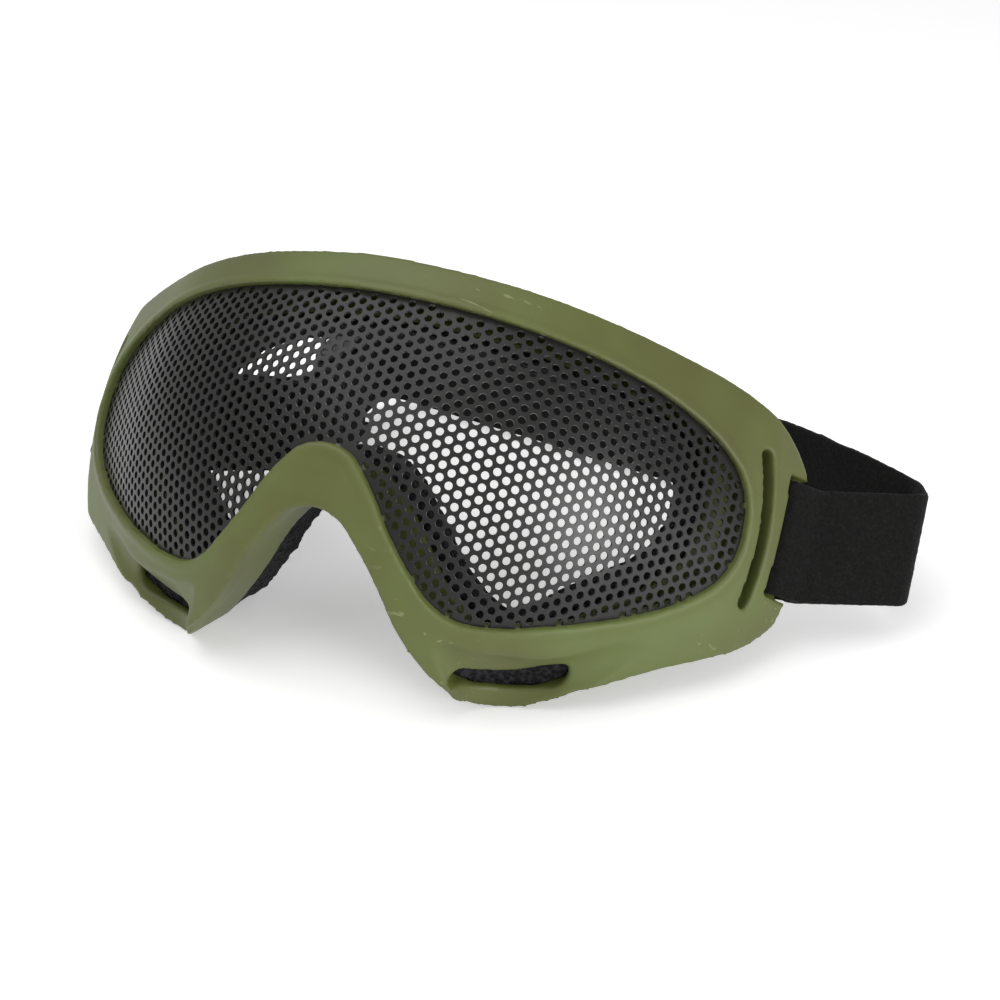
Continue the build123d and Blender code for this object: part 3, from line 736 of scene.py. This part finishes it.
class GOGGLES_OT_stitches(bpy.types.Operator):
    """Sews the webbing's ends with rows of thread"""
    bl_idname = "goggles.stitches"
    bl_label = "Stitches"

    def execute(self, context):
        settings = context.scene.goggles_soft
        material = bonded_thread()
        model = self.stitch(settings)
        seams = (("right_end_stitching", "right_sewn_end"), ("slider_end_stitching", "slider_end_loop"))
        for node, cloth in seams:
            sewn = self.sew(model, node, solid_tree(cloth), settings)
            body = "adjuster" if cloth == "slider_end_loop" else None
            finish_piece(sewn, material, body, "thread", node)
            if not body:
                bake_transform(sewn)
        bpy.data.objects.remove(model)
        return {"FINISHED"}

    def stitch(self, settings):
        """One stitch along x: thread that dips into the cloth at both ends and rises towards one."""
        deselect_all()
        bpy.ops.curve.primitive_bezier_curve_add()
        thread = bpy.context.object
        half = settings.stitch / 2
        for point, side in zip(thread.data.splines[0].bezier_points, (-1, 1)):
            point.handle_left_type = point.handle_right_type = "FREE"
            point.co = (side * half, 0, -settings.thread)
            point.handle_left = (side * half * (1 - side / 2), 0, side * settings.thread)
            point.handle_right = point.handle_left
        thread.data.bevel_depth = settings.thread / 2
        thread.data.bevel_resolution = BEVEL_RINGS
        thread.data.use_fill_caps = True
        bpy.ops.object.convert(target="MESH")
        return bpy.context.object

    def sew(self, model, node, cloth, settings):
        """A copy of the stitch at each place along each row."""
        rows = copied_node(node, node + "_rows")
        make_active(rows)
        bpy.ops.mesh.separate(type="LOOSE")
        copies = []
        for row in list(bpy.context.selected_objects):
            spots = vertex_places(row)
            axes = np.linalg.svd(spots - spots.mean(axis=0))[2]
            along, across = Vector(axes[0]), Vector(axes[1])
            middle = Vector(spots.mean(axis=0))
            out = along.cross(across)
            if out.dot(middle - cloth.find_nearest(middle)[0]) < 0:
                out.negate()
            reach = np.ptp((spots - spots.mean(axis=0)) @ axes[0])
            count = int(reach / settings.stitch_pitch)
            turned = Matrix((along, out.cross(along), out)).transposed().to_4x4()
            for step in range(count):
                copy = model.copy()
                copy.data = model.data.copy()
                bpy.context.scene.collection.objects.link(copy)
                spot = middle + along * ((step - (count - 1) / 2) * settings.stitch_pitch)
                copy.data.transform(Matrix.Translation(spot) @ turned)
                copies.append(copy)
            bpy.data.objects.remove(row)
        sewn = joined(copies, node + "_thread")
        bpy.ops.object.shade_smooth()
        return sewn


def studio_floor(colour, strength):
    """A plain pale floor that the camera sees near white, with the shadow kept."""
    material, tree, shader, place = new_material("studio_floor")
    shader.inputs["Base Color"].default_value = (*colour, 1.0)
    shader.inputs["Roughness"].default_value = 0.8
    shader.inputs["Specular IOR Level"].default_value = 0.1
    shader.inputs["Emission Color"].default_value = (1, 1, 1, 1)
    ray = add_node(tree, "ShaderNodeLightPath")
    glossy = add_node(tree, "ShaderNodeMath", {"operation": "MAXIMUM"}, links={
        0: ray.outputs["Is Camera Ray"], 1: ray.outputs["Is Glossy Ray"]})
    seen = add_node(tree, "ShaderNodeMath", {"operation": "MAXIMUM"}, links={
        0: glossy.outputs[0], 1: ray.outputs["Is Transmission Ray"]})
    glow = add_node(tree, "ShaderNodeMath", {"operation": "MULTIPLY"}, {1: strength},
                    {0: seen.outputs[0]})
    tree.links.new(glow.outputs[0], shader.inputs["Emission Strength"])
    return material


class GOGGLES_OT_stage(bpy.types.Operator):
    """Sets up the floor, the soft studio light and the camera"""
    bl_idname = "goggles.stage"
    bl_label = "Stage"

    def execute(self, context):
        settings = context.scene.goggles_stage
        place = context.scene.goggles_placement
        deselect_all()
        bpy.ops.mesh.primitive_plane_add(size=settings.floor_size)
        floor = context.object
        floor.name = "studio_floor"
        floor.data.materials.append(studio_floor(settings.backdrop, settings.floor_glow))
        self.softbox("key_softbox", settings.key_place, settings.key_size, settings.key_power)
        self.softbox("fill_softbox", settings.fill_place, settings.fill_size, settings.fill_power)
        world = bpy.data.worlds.new("studio_light")
        context.scene.world = world
        world.use_nodes = True
        world.node_tree.nodes["Background"].inputs["Color"].default_value = (1, 1, 1, 1)
        world.node_tree.nodes["Background"].inputs["Strength"].default_value = settings.ambient
        self.camera(settings, place)
        context.scene.view_settings.view_transform = "Standard"
        return {"FINISHED"}

    def softbox(self, name, spot, size, power):
        aim = Vector((0, 0, 0)) - Vector(spot)
        bpy.ops.object.light_add(type="AREA", location=spot,
                                 rotation=aim.to_track_quat("-Z", "Y").to_euler())
        lamp = bpy.context.object
        lamp.name = lamp.data.name = name
        lamp.data.shape = "SQUARE"
        lamp.data.size = size
        lamp.data.energy = power

    def camera(self, settings, place):
        forward = Vector(settings.camera_forward).normalized()
        right = Vector(settings.camera_right)
        right = (right - forward * right.dot(forward)).normalized()
        turned = Matrix((right, right.cross(forward), -forward)).transposed()
        origin = Vector((place.across, place.back, place.lift))
        bpy.ops.object.camera_add(location=origin + Vector(settings.camera_offset),
                                  rotation=turned.to_euler())
        camera = bpy.context.object
        camera.name = camera.data.name = "photo_camera"
        camera.data.lens = settings.camera_lens
        camera.data.clip_start = CLIP_START
        bpy.context.scene.camera = camera


class GOGGLES_PT_panel(bpy.types.Panel):
    bl_label = "Goggles"
    bl_idname = "GOGGLES_PT_panel"
    bl_space_type = "VIEW_3D"
    bl_region_type = "UI"
    bl_category = "Goggles"

    def draw(self, context):
        for group, operators in PANEL_ROWS:
            box = self.layout.box()
            settings = getattr(context.scene, group)
            for name in settings.bl_rna.properties.keys():
                if name not in ("rna_type", "name"):
                    box.prop(settings, name)
            for operator in operators:
                box.operator(operator)


PANEL_ROWS = (
    ("goggles_placement", ("goggles.mouldings",)),
    ("goggles_lens", ("goggles.lens",)),
    ("goggles_soft", ("goggles.foam", "goggles.webbing", "goggles.stitches")),
    ("goggles_stage", ("goggles.stage",)),
)
GROUPS = (
    ("goggles_placement", GogglesPlacement), ("goggles_lens", GogglesLens),
    ("goggles_soft", GogglesSoft), ("goggles_stage", GogglesStage),
)
CLASSES = (
    GOGGLES_OT_mouldings, GOGGLES_OT_lens, GOGGLES_OT_foam, GOGGLES_OT_webbing,
    GOGGLES_OT_stitches, GOGGLES_OT_stage, GOGGLES_PT_panel,
)


def register():
    for name, group in GROUPS:
        bpy.utils.register_class(group)
        setattr(bpy.types.Scene, name, bpy.props.PointerProperty(type=group))
    for item in CLASSES:
        bpy.utils.register_class(item)


def unregister():
    for item in reversed(CLASSES):
        bpy.utils.unregister_class(item)
    for name, group in reversed(GROUPS):
        delattr(bpy.types.Scene, name)
        bpy.utils.unregister_class(group)


def main():
    register()
    bpy.ops.goggles.mouldings()
    bpy.ops.goggles.lens()
    bpy.ops.goggles.foam()
    bpy.ops.goggles.webbing()
    bpy.ops.goggles.stitches()
    bpy.ops.goggles.stage()


if __name__ == "__main__":
    main()
